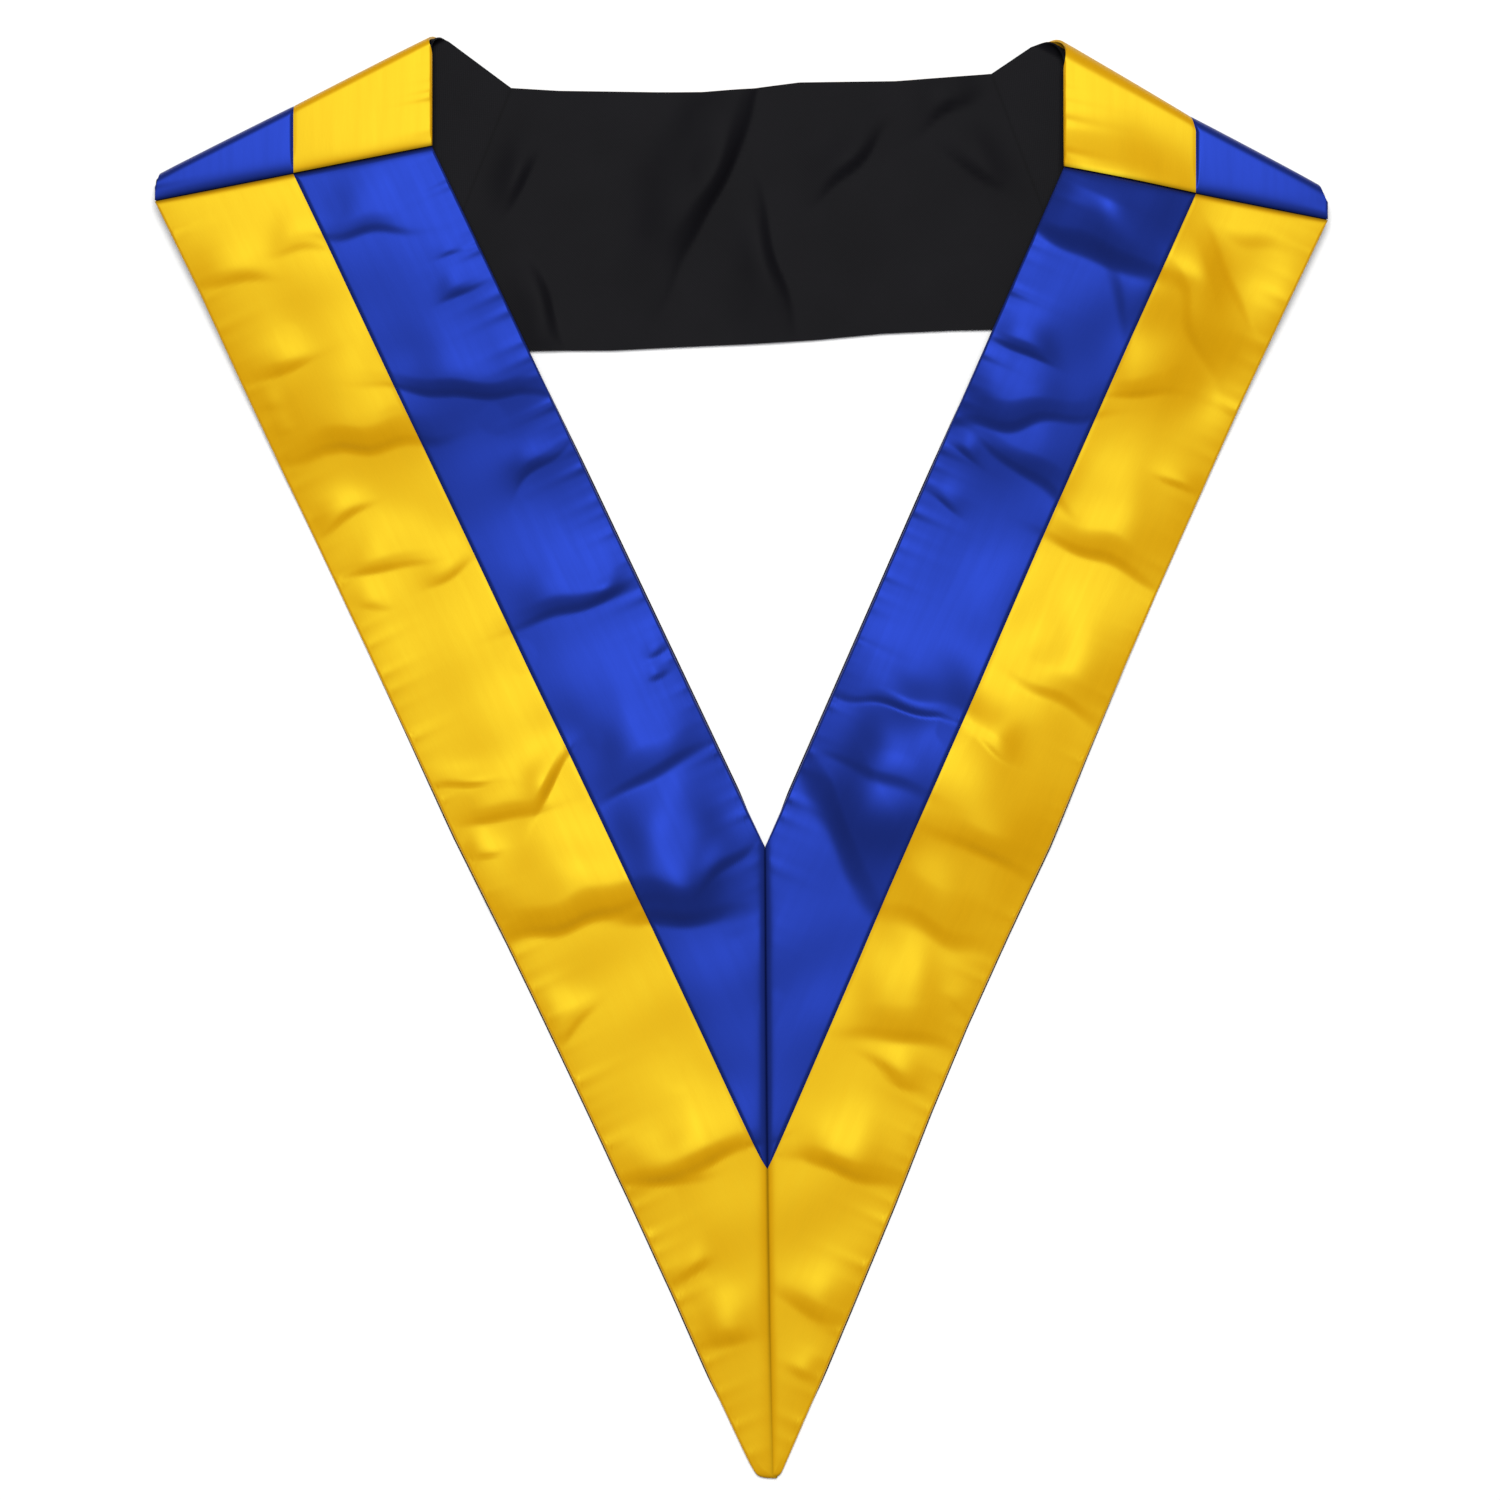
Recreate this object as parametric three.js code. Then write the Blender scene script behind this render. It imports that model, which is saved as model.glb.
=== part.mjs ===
// Masonic collar: two striped satin legs meeting in a point, shoulders folded back over a crest,
// and a back panel lying under with its lining up. It lies flat, face up, on the plane z = 0.
// Millimetres. In plan +X is to the right, +Y runs up to the crests, and the inner corner of
// the V is at x = 0, y = 0 until the whole collar is moved onto its origin at the end.
import * as THREE from "three";

const rad = THREE.MathUtils.degToRad;
const { lerp } = THREE.MathUtils;

// Cloth
const SATIN_THICKNESS = 1.2;
const LINING_THICKNESS = 1.0;
const CLOTH_GAP = 0.3;
const STACK = LINING_THICKNESS + CLOTH_GAP + SATIN_THICKNESS;
const HALF_SEAM = 0.16;

// The cloth turns back over a crest on this radius, and hangs down from there onto the table,
// which it reaches at a share of the way up from the V's corner to the lower shoulder seam.
const LOOP_RADIUS = 4.0;
const LOOP_TOP = STACK + 2 * LOOP_RADIUS;
const TOUCH_DOWN = 0.46;

// Folds of the front die out over a share of the band from the crests, and those of the back
// panel over a share of its length from each mitre.
const CREST_FADE = 0.25;
const MITRE_FADE = 0.1;
const FOLD_HEIGHT = 4.0;
const BACK_FOLD_HEIGHT = 1.6;

// The rounded point, and the line of facets that shapes it, as a share of the radius from the edge
const TIP_RADIUS = 2.4;
const TIP_LINE = 0.6;

// Facets
const LEG_ROWS = 32;
const FRONT_ROWS = 5;
const LOOP_ROWS = 8;
const RETURN_ROWS = 7;
const BACK_ROWS = 16;
const STRIPE_CELLS = 4;

// The band of two stripes, and a leg's inner edge from the V's corner to the shoulder seam
const BAND_WIDTH = 100;
const INNER_EDGE = 284;

// The two halves differ a little, as sewn cloth does. Angles are in degrees: lean is the leg's
// from straight up, seam the shoulder seam's and crest the fold's from level. aboveSeam is from
// the seam's outer end up to the crest, and neckReturn from the crest to the back panel's corner.
const HALVES = {
  left: {
    sign: -1,
    lean: 25.4,
    seam: 11.2,
    crest: 26.7,
    width: 1.026 * BAND_WIDTH,
    inner: 1.022 * INNER_EDGE,
    aboveSeam: 0.059 * BAND_WIDTH,
    neckReturn: 0.293 * BAND_WIDTH,
    backWidth: 0.985 * BAND_WIDTH,
  },
  right: {
    sign: 1,
    lean: 23.7,
    seam: 11.2,
    crest: 28.0,
    width: 0.985 * BAND_WIDTH,
    inner: 0.9775 * INNER_EDGE,
    aboveSeam: 0.071 * BAND_WIDTH,
    neckReturn: 0.18 * BAND_WIDTH,
    backWidth: 0.935 * BAND_WIDTH,
  },
};

// Folds of the legs. Columns: along the leg as a share of its inner length, across it as a
// share of its width, turn from straight across in degrees, half length and half width as
// shares of the width, height as a share of FOLD_HEIGHT.
const LEG_FOLDS = {
  left: [
    [0.93, 0.60, 8, 0.50, 0.16, 0.45],
    [0.72, 0.68, 14, 0.46, 0.18, 0.60],
    [0.71, 0.22, 30, 0.30, 0.16, 0.45],
    [0.55, 0.76, 16, 0.36, 0.16, 0.40],
    [0.37, 0.15, -8, 0.26, 0.14, 0.40],
    [0.22, 0.70, -8, 0.42, 0.18, 0.85],
    [0.05, 0.52, -5, 0.56, 0.19, 1.00],
    [-0.12, 0.84, -20, 0.26, 0.16, 0.45],
    [-0.30, 0.74, 15, 0.38, 0.20, 0.70],
    [-0.54, 0.86, 6, 0.22, 0.16, 0.40],
  ],
  right: [
    [0.90, 0.26, 18, 0.36, 0.20, 0.60],
    [0.90, 0.76, -46, 0.36, 0.16, 0.60],
    [0.69, 0.20, 32, 0.32, 0.15, 0.55],
    [0.54, 0.72, -15, 0.38, 0.18, 0.75],
    [0.37, 0.76, -10, 0.34, 0.16, 0.45],
    [0.29, 0.28, 0, 0.34, 0.16, 0.60],
    [0.14, 0.30, -14, 0.36, 0.17, 0.75],
    [0.11, 0.78, 8, 0.36, 0.18, 0.60],
    [-0.11, 0.76, 12, 0.34, 0.18, 0.65],
    [-0.32, 0.76, 8, 0.30, 0.18, 0.60],
    [-0.54, 0.86, 6, 0.22, 0.16, 0.35],
  ],
};

// Creases of the back panel. Columns: share from the left mitre to the right one, share down
// from the neck edge, direction in degrees, half length and half width as shares of the
// panel's width, height as a share of BACK_FOLD_HEIGHT.
const BACK_FOLDS = [
  [0.46, 0.40, 64, 0.44, 0.17, 1.00],
  [0.56, 0.68, 104, 0.30, 0.16, 0.70],
  [0.70, 0.34, 48, 0.26, 0.16, 0.60],
  [0.86, 0.30, -30, 0.26, 0.16, 0.60],
  [0.20, 0.60, 100, 0.32, 0.17, 0.70],
];

const COLOURS = {
  yellow: { color: 0xf0bc16, roughness: 0.42, metalness: 0 },
  blue: { color: 0x2a3fb4, roughness: 0.42, metalness: 0 },
  black: { color: 0x1d1c21, roughness: 0.85, metalness: 0 },
};
const materials = Object.fromEntries(
  Object.entries(COLOURS).map(([name, look]) => [name, new THREE.MeshStandardMaterial(look)]),
);

// Heights of the two faces of each cloth above the lining's own face
const LINING = [0, LINING_THICKNESS];
const SATIN = [LINING_THICKNESS + CLOTH_GAP, STACK];

const smooth = (t) => THREE.MathUtils.smoothstep(t, 0, 1);
const evenly = (from, to, count) =>
  Array.from({ length: count + 1 }, (_, step) => lerp(from, to, step / count));

// Works out the lines of one half from its sizes; x is taken outward on both halves.
function layOut({ sign, ...sizes }) {
  const lean = rad(sizes.lean);
  const along = new THREE.Vector2(Math.sin(lean), Math.cos(lean));
  const across = new THREE.Vector2(Math.cos(lean), -Math.sin(lean));
  const seamSlope = Math.tan(lean - rad(sizes.seam));
  const at = (length, offset) =>
    along.clone().multiplyScalar(length).addScaledVector(across, offset);
  const seamInner = at(sizes.inner, 0);
  const seamOuter = at(sizes.inner + sizes.width * seamSlope, sizes.width);
  const crest = rad(sizes.crest);
  const crestAlong = new THREE.Vector2(Math.cos(crest), -Math.sin(crest));
  const crestOut = new THREE.Vector2(Math.sin(crest), Math.cos(crest));
  const stripWidth = seamOuter.x - seamInner.x;
  const crestInner = new THREE.Vector2(
    seamInner.x,
    seamOuter.y + sizes.aboveSeam + stripWidth * Math.tan(crest),
  );
  const backward = new THREE.Vector2(-Math.sin(2 * crest), -Math.cos(2 * crest));
  const sideways = new THREE.Vector2(Math.cos(2 * crest), -Math.sin(2 * crest));
  const neckCorner = crestInner.clone()
    .addScaledVector(crestAlong, -Math.PI * LOOP_RADIUS * Math.tan(crest))
    .addScaledVector(backward, sizes.neckReturn);
  return {
    ...sizes, sign, lean, at, along, across, seamSlope, seamInner, seamOuter, crest,
    crestAlong, crestOut, crestInner, stripWidth, backward, sideways, neckCorner,
  };
}

const left = layOut(HALVES.left);
const right = layOut(HALVES.right);
const halfAt = (x) => (x < 0 ? left : right);
const inPlan = (half, point) => new THREE.Vector2(half.sign * point.x, point.y);

// The two outer edges meet here, at the sharp end of the tip.
function findTip() {
  const spread = Math.sin(left.lean + right.lean);
  const y = -(left.width * Math.cos(right.lean) + right.width * Math.cos(left.lean)) / spread;
  const x = (right.width + y * Math.sin(right.lean)) / Math.cos(right.lean);
  return new THREE.Vector2(x, y);
}
const tip = findTip();
for (const half of [left, right]) {
  half.tipAlong = half.sign * tip.x * half.along.x + tip.y * half.along.y;
}

// The lower corner of the back panel on one half: its lower edge meets the strip's outer edge.
function findLowerCorner(half, other) {
  const below = (side) => inPlan(side, side.neckCorner).sub(new THREE.Vector2(0, side.backWidth));
  const start = below(half);
  const edge = below(other).sub(start);
  const outer = inPlan(half, half.neckCorner.clone().addScaledVector(half.sideways, half.stripWidth));
  const way = inPlan(half, half.backward);
  const length = edge.cross(start.clone().sub(outer)) / edge.cross(way);
  return outer.addScaledVector(way, length);
}
for (const [half, other] of [[left, right], [right, left]]) {
  half.neck = inPlan(half, half.neckCorner);
  half.lower = findLowerCorner(half, other);
}

// A rounded ridge on an oblong patch, 1 at its middle and 0 at its rim
function ridge(x, y, fold) {
  const dx = x - fold.x;
  const dy = y - fold.y;
  const lengthwise = (dx * fold.cos + dy * fold.sin) / fold.halfLength;
  const sidewise = (dy * fold.cos - dx * fold.sin) / fold.halfWidth;
  const inside = Math.max(0, 1 - lengthwise ** 2) * Math.max(0, 1 - sidewise ** 2);
  return fold.height * inside ** 2;
}

function makeFold(point, direction, size, [, , , halfLength, halfWidth, share], height) {
  return {
    x: point.x,
    y: point.y,
    cos: Math.cos(direction),
    sin: Math.sin(direction),
    halfLength: halfLength * size,
    halfWidth: halfWidth * size,
    height: share * height,
  };
}

function foldsOf(half, rows) {
  return rows.map((row) => {
    const [alongShare, acrossShare, turn] = row;
    const point = inPlan(half, half.at(alongShare * half.inner, acrossShare * half.width));
    const heading = rad(turn) - half.lean;
    const direction = half.sign > 0 ? heading : Math.PI - heading;
    return makeFold(point, direction, half.width, row, FOLD_HEIGHT);
  });
}
const legFolds = [...foldsOf(left, LEG_FOLDS.left), ...foldsOf(right, LEG_FOLDS.right)];

// Height of the lining's under face anywhere on the front cloth
const levelY = Math.min(left.seamOuter.y, right.seamOuter.y);
const touchDownY = TOUCH_DOWN * levelY;
function frontHeight(x, y) {
  const half = halfAt(x);
  const fromCrest = new THREE.Vector2(Math.abs(x), y).sub(half.crestInner).dot(half.crestOut);
  const rise = smooth((y - touchDownY) / (levelY - touchDownY));
  const folds = legFolds.reduce((sum, fold) => sum + ridge(x, y, fold), 0);
  return LOOP_TOP * rise + folds * smooth(-fromCrest / (CREST_FADE * BAND_WIDTH));
}

// Where a leg starts, measured along it: on the centre seam, rounded off at the tip
function startOfLeg(half, offset) {
  const slope = half.tipAlong / half.width;
  const seam = slope * offset + HALF_SEAM * Math.hypot(1, slope);
  const middle = half.width - TIP_RADIUS;
  if (offset <= middle) return seam;
  const drop = Math.sqrt(Math.max(0, TIP_RADIUS ** 2 - (offset - middle) ** 2));
  return Math.max(seam, slope * middle - drop);
}

function legPoint(half, share, acrossShare, layer) {
  const offset = acrossShare * half.width;
  const end = half.inner + offset * half.seamSlope - HALF_SEAM;
  const point = half.at(lerp(startOfLeg(half, offset), end, share), offset);
  const x = half.sign * point.x;
  return new THREE.Vector3(x, point.y, frontHeight(x, point.y) + layer);
}

// A point of a shoulder strip in plan, at a distance past the crest line, before it is bent
function pastCrest(half, outward, distance) {
  const alongCrest = (outward - distance * Math.sin(half.crest)) / Math.cos(half.crest);
  return half.crestInner.clone().addScaledVector(half.crestAlong, alongCrest);
}

function frontOfShoulder(half, share, outward, layer) {
  const seamY = half.seamInner.y - outward * Math.tan(rad(half.seam)) + HALF_SEAM;
  const point = new THREE.Vector2(half.seamInner.x + outward, seamY)
    .lerp(pastCrest(half, outward, 0), share);
  const x = half.sign * point.x;
  return new THREE.Vector3(x, point.y, frontHeight(x, point.y) + layer);
}

function loopOfShoulder(half, share, outward, layer) {
  const angle = Math.PI * share;
  const radius = LOOP_RADIUS + layer;
  const point = pastCrest(half, outward, LOOP_RADIUS * angle)
    .addScaledVector(half.crestOut, radius * Math.sin(angle));
  const height = STACK + LOOP_RADIUS + radius * Math.cos(angle);
  return new THREE.Vector3(half.sign * point.x, point.y, height);
}

function returnOfShoulder(half, share, outward, layer) {
  const start = inPlan(half, pastCrest(half, outward, Math.PI * LOOP_RADIUS));
  const end = half.neck.clone().lerp(half.lower, outward / half.stripWidth)
    .addScaledVector(inPlan(half, half.backward), -HALF_SEAM);
  const point = start.lerp(end, share);
  return new THREE.Vector3(point.x, point.y, STACK - layer);
}

function shoulderPoint(half, row, acrossShare, layer) {
  const outward = acrossShare * half.stripWidth;
  if (row <= FRONT_ROWS) return frontOfShoulder(half, row / FRONT_ROWS, outward, layer);
  const pastFront = row - FRONT_ROWS;
  if (pastFront <= LOOP_ROWS) return loopOfShoulder(half, pastFront / LOOP_ROWS, outward, layer);
  return returnOfShoulder(half, (pastFront - LOOP_ROWS) / RETURN_ROWS, outward, layer);
}

function backPlan(share, downShare) {
  const start = left.neck.clone().lerp(left.lower, downShare);
  const end = right.neck.clone().lerp(right.lower, downShare);
  start.x += HALF_SEAM;
  end.x -= HALF_SEAM;
  return start.lerp(end, share);
}
const backFolds = BACK_FOLDS.map((row) =>
  makeFold(backPlan(row[0], row[1]), rad(row[2]), left.backWidth, row, BACK_FOLD_HEIGHT));

function backPoint(share, downShare, layer) {
  const point = backPlan(share, downShare);
  const ends = smooth(Math.min(share, 1 - share) / MITRE_FADE);
  const folds = backFolds.reduce((sum, fold) => sum + ridge(point.x, point.y, fold), 0);
  return new THREE.Vector3(point.x, point.y, STACK - layer + ends * folds);
}

// Shares across a band for its two stripes and for the lining under both. An edge share adds
// one more line close to the outer edge, for the rounded tip.
function sharesAcross(width, edge) {
  const seam = HALF_SEAM / width;
  const inner = evenly(0, 0.5 - seam, STRIPE_CELLS);
  const outer = evenly(0.5 + seam, 1, STRIPE_CELLS);
  const lining = evenly(0, 1, 2 * STRIPE_CELLS);
  if (edge) {
    outer.splice(-1, 0, edge);
    lining.splice(-1, 0, edge);
  }
  return { inner, outer, lining };
}

// One cloth as a closed body. place(row, share, layer) gives a point of it, and the two
// layers are its faces; turned reverses the facets where the plan is mirrored.
function clothBody(rowCount, shares, layers, place, turned) {
  const columns = shares.length;
  const rows = rowCount + 1;
  const faceSize = rows * columns;
  const positions = [];
  for (const layer of layers) {
    for (let row = 0; row < rows; row += 1) {
      for (const share of shares) positions.push(...place(row, share, layer).toArray());
    }
  }
  const indices = [];
  const quad = (a, b, c, d) => {
    if (turned) indices.push(a, c, b, a, d, c);
    else indices.push(a, b, c, a, c, d);
  };
  const inner = (row, column) => row * columns + column;
  const outer = (row, column) => faceSize + inner(row, column);
  for (let row = 0; row < rows - 1; row += 1) {
    for (let column = 0; column < columns - 1; column += 1) {
      quad(outer(row, column), outer(row, column + 1), outer(row + 1, column + 1), outer(row + 1, column));
      quad(inner(row, column), inner(row + 1, column), inner(row + 1, column + 1), inner(row, column + 1));
    }
    const last = columns - 1;
    quad(inner(row, 0), outer(row, 0), outer(row + 1, 0), inner(row + 1, 0));
    quad(inner(row, last), inner(row + 1, last), outer(row + 1, last), outer(row, last));
  }
  for (let column = 0; column < columns - 1; column += 1) {
    const last = rows - 1;
    quad(inner(0, column), inner(0, column + 1), outer(0, column + 1), outer(0, column));
    quad(inner(last, column), outer(last, column), outer(last, column + 1), inner(last, column + 1));
  }
  const geometry = new THREE.BufferGeometry();
  geometry.setAttribute("position", new THREE.Float32BufferAttribute(positions, 3));
  geometry.setIndex(indices);
  geometry.computeVertexNormals();
  return geometry;
}

const collar = new THREE.Group();
collar.name = "masonic_collar";

function addCloth(name, material, geometry) {
  const mesh = new THREE.Mesh(geometry, material);
  mesh.name = name;
  collar.add(mesh);
}

// A band is two satin stripes side by side on one lining.
function addBand(names, looks, rowCount, shares, place, turned) {
  addCloth(names.inner, looks.inner, clothBody(rowCount, shares.inner, SATIN, place, turned));
  addCloth(names.outer, looks.outer, clothBody(rowCount, shares.outer, SATIN, place, turned));
  addCloth(names.lining, materials.black, clothBody(rowCount, shares.lining, LINING, place, turned));
}

for (const [side, half] of Object.entries({ left, right })) {
  const mirrored = half.sign < 0;
  addBand(
    { inner: `${side}_leg_inner_stripe`, outer: `${side}_leg_outer_stripe`, lining: `${side}_leg_lining` },
    { inner: materials.blue, outer: materials.yellow },
    LEG_ROWS,
    sharesAcross(half.width, 1 - TIP_LINE * TIP_RADIUS / half.width),
    (row, share, layer) => legPoint(half, row / LEG_ROWS, share, layer),
    mirrored,
  );
  addBand(
    {
      inner: `${side}_shoulder_inner_stripe`,
      outer: `${side}_shoulder_outer_stripe`,
      lining: `${side}_shoulder_lining`,
    },
    { inner: materials.yellow, outer: materials.blue },
    FRONT_ROWS + LOOP_ROWS + RETURN_ROWS,
    sharesAcross(half.stripWidth),
    (row, share, layer) => shoulderPoint(half, row, share, layer),
    mirrored,
  );
}

addBand(
  { inner: "back_neck_stripe", outer: "back_lower_stripe", lining: "back_lining" },
  { inner: materials.yellow, outer: materials.blue },
  BACK_ROWS,
  sharesAcross(left.backWidth),
  (row, share, layer) => backPoint(row / BACK_ROWS, share, layer),
  true,
);

// The origin is the middle of the outline, on the table.
const outline = new THREE.Box3().setFromObject(collar);
const middle = outline.getCenter(new THREE.Vector3());
for (const mesh of collar.children) {
  mesh.geometry.translate(-middle.x, -middle.y, -outline.min.z);
}

export default collar;
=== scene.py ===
"""Dresses the masonic collar: satin stripes, linings, floor, light and camera, as a Blender add-on."""

import math

import bmesh
import bpy
import numpy as np
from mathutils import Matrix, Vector


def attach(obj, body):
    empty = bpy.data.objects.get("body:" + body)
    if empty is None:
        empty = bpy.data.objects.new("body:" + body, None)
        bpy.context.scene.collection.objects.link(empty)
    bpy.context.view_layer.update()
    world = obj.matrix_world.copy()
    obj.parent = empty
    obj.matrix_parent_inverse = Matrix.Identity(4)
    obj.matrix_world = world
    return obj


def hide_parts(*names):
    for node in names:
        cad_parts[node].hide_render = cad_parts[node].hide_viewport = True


bl_info = {
    "name": "Masonic Collar",
    "version": (1, 0, 0),
    "blender": (4, 5, 0),
    "location": "View3D > Sidebar > Collar",
    "description": "Satin and lining of a V-shaped regalia collar that lies flat",
    "category": "Object",
}

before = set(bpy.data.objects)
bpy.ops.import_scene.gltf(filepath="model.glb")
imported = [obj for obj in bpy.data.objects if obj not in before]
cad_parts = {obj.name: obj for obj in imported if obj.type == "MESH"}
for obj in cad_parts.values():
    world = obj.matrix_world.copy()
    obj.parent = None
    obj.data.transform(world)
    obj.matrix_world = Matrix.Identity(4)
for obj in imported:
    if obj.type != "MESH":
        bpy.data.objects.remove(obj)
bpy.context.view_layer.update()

MM = 0.001

# The pattern of the collar, in metres, as the CAD part has it. In plan the V's inner corner is
# at x = 0, y = 0, and PLAN_MIDDLE is the plan point that the frame has at its origin. SATIN_TOP
# is the height of the satin's face where the cloth lies flat, LOOP_RADIUS the inside radius of
# the fold over the crest, LOOP_LENGTH the cloth that it takes, and LOOP_TOP the height at which
# the front cloth comes down from it.
BAND_WIDTH = 100 * MM
INNER_EDGE = 284 * MM
PLAN_MIDDLE = np.array([-8.86, 34.33]) * MM
SATIN_TOP = 2.5 * MM
LOOP_RADIUS = 4.0 * MM
LOOP_LENGTH = math.pi * LOOP_RADIUS
LOOP_TOP = SATIN_TOP + 2 * LOOP_RADIUS

# Rounds the point, which the CAD part has sharp.
TIP_RADIUS = 3.6 * MM

# The share of the way up to the shoulder at which a leg leaves the floor, the stretch below the
# crest over which the creases die out, and the share of the back panel's length that they take
# to do so at a mitre
TOUCH_DOWN = 0.46
CREST_FADE = 0.5 * BAND_WIDTH
MITRE_FADE = 0.08

# Each half as it lies: how far its leg leans from the collar's middle, the slopes of its front
# seam and crest, its width, the length of its inner edge, how far above the seam the crest ends
# on the outside, the length of the return's neck edge and the width of the back panel there.
# "fold" is how square the fold is, 2 for a round one, at the neck and on the outside,
# "fold_depth" how far it bulges, in shares of a half circle's depth, at the neck and from the
# middle outward, and "fold_slide" how far its lower end is pushed along the crest to the neck.
HALVES = {
    "left": {
        "sign": -1,
        "lean": math.radians(25.4),
        "seam": math.radians(11.2),
        "crest": math.radians(26.7),
        "width": 1.026 * BAND_WIDTH,
        "inner": 1.022 * INNER_EDGE,
        "above_seam": 0.059 * BAND_WIDTH,
        "neck_return": 0.293 * BAND_WIDTH,
        "back_width": 0.985 * BAND_WIDTH,
        "fold": (3.0, 3.0),
        "fold_depth": (0.6, 0.55),
        "fold_slide": 0.0,
    },
    "right": {
        "sign": 1,
        "lean": math.radians(23.7),
        "seam": math.radians(11.2),
        "crest": math.radians(28.0),
        "width": 0.985 * BAND_WIDTH,
        "inner": 0.9775 * INNER_EDGE,
        "above_seam": 0.071 * BAND_WIDTH,
        "neck_return": 0.18 * BAND_WIDTH,
        "back_width": 0.965 * BAND_WIDTH,
        "fold": (2.2, 3.6),
        "fold_depth": (1.05, 0.65),
        "fold_slide": 6.5 * MM,
    },
}

# Creases of the legs. Each is a tuck: the cloth climbs steeply from a foot line to a crest and
# falls away gently behind it. Columns: along the leg as a share of its inner edge, across it as
# a share of its width, turn of the foot line in degrees, half its length and the climb as
# shares of the width, height in millimetres, below zero for a hollow.
LEG_TUCKS = {
    "left": [
        (0.945, 0.60, 18, 0.09, 0.06, 0.45),
        (0.945, 0.87, 15, 0.12, 0.05, 0.6),
        (0.93, 0.36, 20, 0.17, 0.09, 0.9),
        (0.86, 0.10, 6, 0.05, 0.02, 0.2),
        (0.82, 0.84, 5, 0.13, 0.05, 0.8),
        (0.81, 0.12, -3, 0.07, 0.03, 0.5),
        (0.79, 0.95, 8, 0.05, 0.03, 0.15),
        (0.75, 0.94, 4, 0.05, 0.03, 0.15),
        (0.69, 0.28, 28, 0.24, 0.07, 1.5),
        (0.685, 0.74, 16, 0.23, 0.11, 2.2),
        (0.615, 0.88, -3, 0.09, 0.03, 0.6),
        (0.565, 0.14, -26, 0.10, 0.04, 0.7),
        (0.53, 0.82, 13, 0.14, 0.06, 0.8),
        (0.495, 0.91, 12, 0.06, 0.03, 0.2),
        (0.49, 0.62, -3, 0.08, 0.04, 0.4),
        (0.38, 0.11, 4, 0.07, 0.03, 0.6),
        (0.38, 0.26, 7, 0.20, 0.08, 1.3),
        (0.29, 0.05, -6, 0.04, 0.02, 0.3),
        (0.26, 0.08, -4, 0.04, 0.02, 0.3),
        (0.23, 0.89, 21, 0.11, 0.03, 0.5),
        (0.19, 0.59, -37, 0.11, 0.05, 1.4),
        (0.175, 0.82, 11, 0.17, 0.05, 1.0),
        (0.14, 0.24, -4, 0.20, 0.13, 1.8),
        (0.14, 0.94, 0, 0.06, 0.03, 0.4),
        (0.01, 0.73, 11, 0.28, 0.12, 3.0),
        (0.00, 0.16, -17, 0.10, 0.03, 0.7),
        (-0.04, 0.41, 21, 0.18, 0.16, 3.6),
        (-0.11, 0.89, -21, 0.08, 0.05, 0.6),
        (-0.335, 0.88, 18, 0.13, 0.05, 1.2),
        (-0.34, 0.68, 4, 0.17, 0.07, 1.8),
        (-0.455, 0.91, -2, 0.07, 0.03, 0.5),
        (-0.565, 0.90, 14, 0.10, 0.06, 0.9),
    ],
    "right": [
        (1.03, 0.79, 184, 0.16, 0.22, -2.6),
        (0.95, 0.78, 137, 0.20, 0.10, 0.8),
        (0.905, 0.23, -1, 0.25, 0.22, 5.8),
        (0.875, 0.65, -44, 0.20, 0.15, 2.4),
        (0.87, 0.36, -51, 0.15, 0.15, 1.2),
        (0.76, 0.62, 26, 0.11, 0.08, 0.9),
        (0.75, 0.14, 6, 0.09, 0.05, 1.1),
        (0.67, 0.88, -1, 0.07, 0.03, 0.5),
        (0.66, 0.24, 26, 0.22, 0.10, 2.0),
        (0.60, 0.34, -13, 0.16, 0.09, 1.5),
        (0.59, 0.10, -13, 0.06, 0.03, 0.4),
        (0.53, 0.75, -1, 0.20, 0.13, 2.2),
        (0.52, 0.10, -10, 0.06, 0.03, 0.3),
        (0.33, 0.80, -6, 0.18, 0.14, 1.7),
        (0.24, 0.27, 6, 0.22, 0.07, 1.6),
        (0.24, 0.66, -2, 0.10, 0.07, 0.8),
        (0.14, 0.25, 3, 0.22, 0.13, 1.5),
        (0.10, 0.81, -4, 0.20, 0.13, 2.0),
        (0.055, 0.17, -40, 0.27, 0.27, 5.0),
        (-0.02, 0.72, 4, 0.21, 0.20, 2.2),
        (-0.10, 0.91, -20, 0.05, 0.03, 0.2),
        (-0.17, 0.79, 20, 0.17, 0.15, 1.7),
        (-0.21, 0.77, -4, 0.08, 0.03, 0.4),
        (-0.22, 0.83, -9, 0.07, 0.03, 0.4),
        (-0.365, 0.79, 9, 0.18, 0.07, 1.5),
        (-0.555, 0.88, -2, 0.11, 0.06, 0.9),
        (-0.63, 0.93, 10, 0.06, 0.03, 0.3),
    ],
}

# How far the outer edge of a leg strays sideways from its straight line, at even steps from the
# tip up to the shoulder seam, in millimetres, outward, and the distance from the collar's middle
# over which that sets in, so that the centre seam stays straight
EDGE_STRAY = {
    "left": (2.3, 2.1, 1.0, 0.5, 0.2, 0.2, 0.5, 1.4, 1.0, 0.8, 0.7, 0.7, 0.2, -0.5, 0.0),
    "right": (1.9, 1.7, 1.0, 0.2, -1.4, -2.1, -1.7, -0.7, -1.6, -2.2, -2.3, -2.1, -2.0, -1.2, 0.0),
}
STRAY_FADE = 0.4 * TIP_RADIUS

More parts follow.
